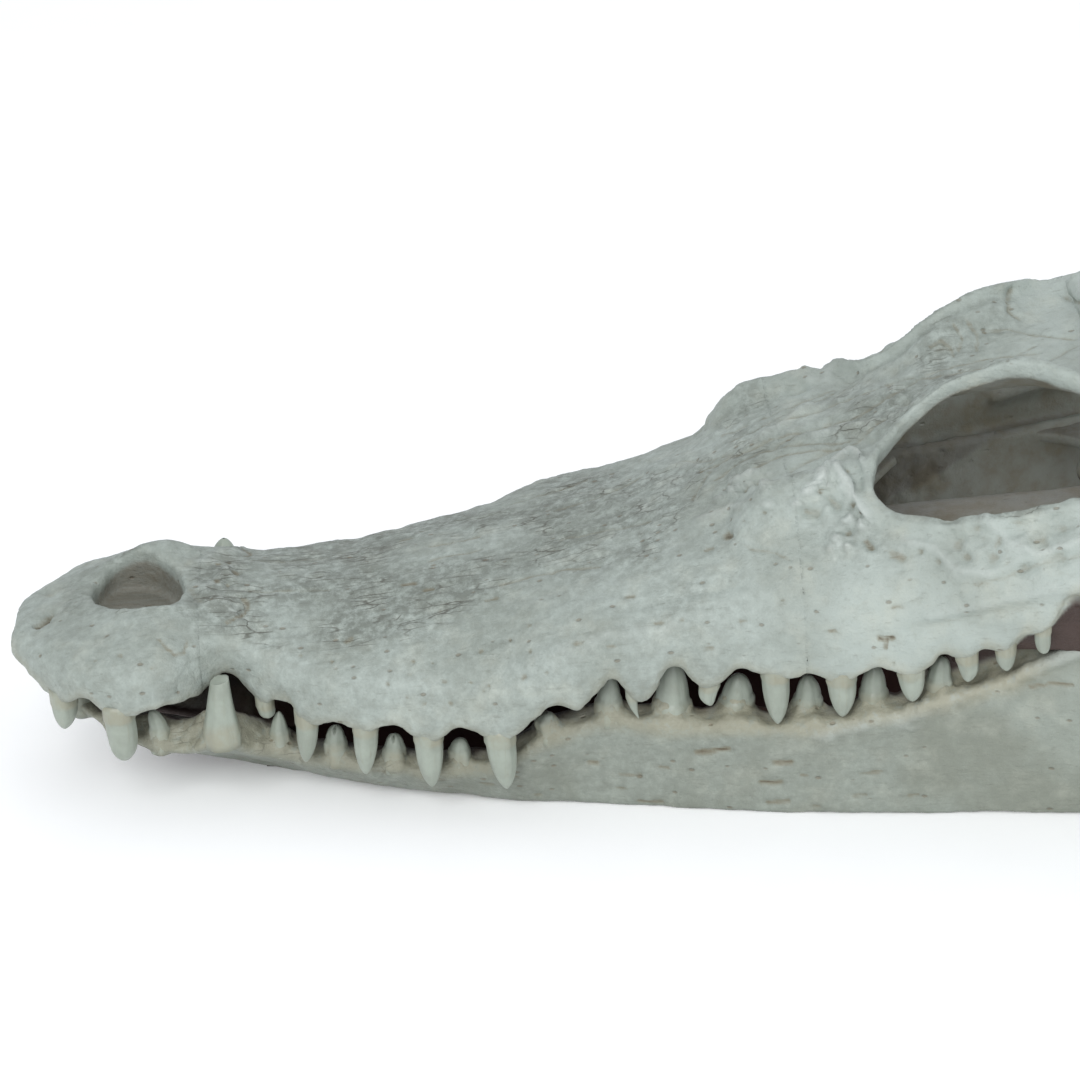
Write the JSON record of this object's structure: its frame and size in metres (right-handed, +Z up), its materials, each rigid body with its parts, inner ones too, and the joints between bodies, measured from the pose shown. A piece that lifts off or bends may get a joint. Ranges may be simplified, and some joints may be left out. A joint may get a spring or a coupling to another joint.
{
  "type": "crocodile skull",
  "caption": "Long broad-snouted crocodile skull with its lower jaw closed, conical teeth in both jaws, open orbits and a flat skull table, resting on its lower jaw.",
  "frame": {"origin": "under the middle of the skull's bounding box, on the level the lower jaw rests on", "axes": "+Z up; the snout points to -X and the back of the head to +X; the animal's left is -Y"},
  "size_m": [0.45, 0.1822, 0.1109],
  "materials": {
    "snout_bone": "matt, faintly chalky bone",
    "roof_bone": "matt, faintly chalky bone",
    "base_bone": "matt, faintly chalky bone",
    "jaw_bone": "matt, faintly chalky bone"
  },
  "bodies": {
    "root": {"premaxilla": "snout_bone", "maxilla": "snout_bone", "frontal": "roof_bone", "skull_table": "roof_bone", "jugal_left": "roof_bone", "jugal_right": "roof_bone", "palatines": "base_bone", "pterygoids": "base_bone", "braincase": "base_bone", "quadrate_left": "base_bone", "quadrate_right": "base_bone", "dentary_left": "jaw_bone", "dentary_right": "jaw_bone", "surangular_left": "jaw_bone", "surangular_right": "jaw_bone", "articular_left": "jaw_bone", "articular_right": "jaw_bone"}
  },
  "joints": []
}
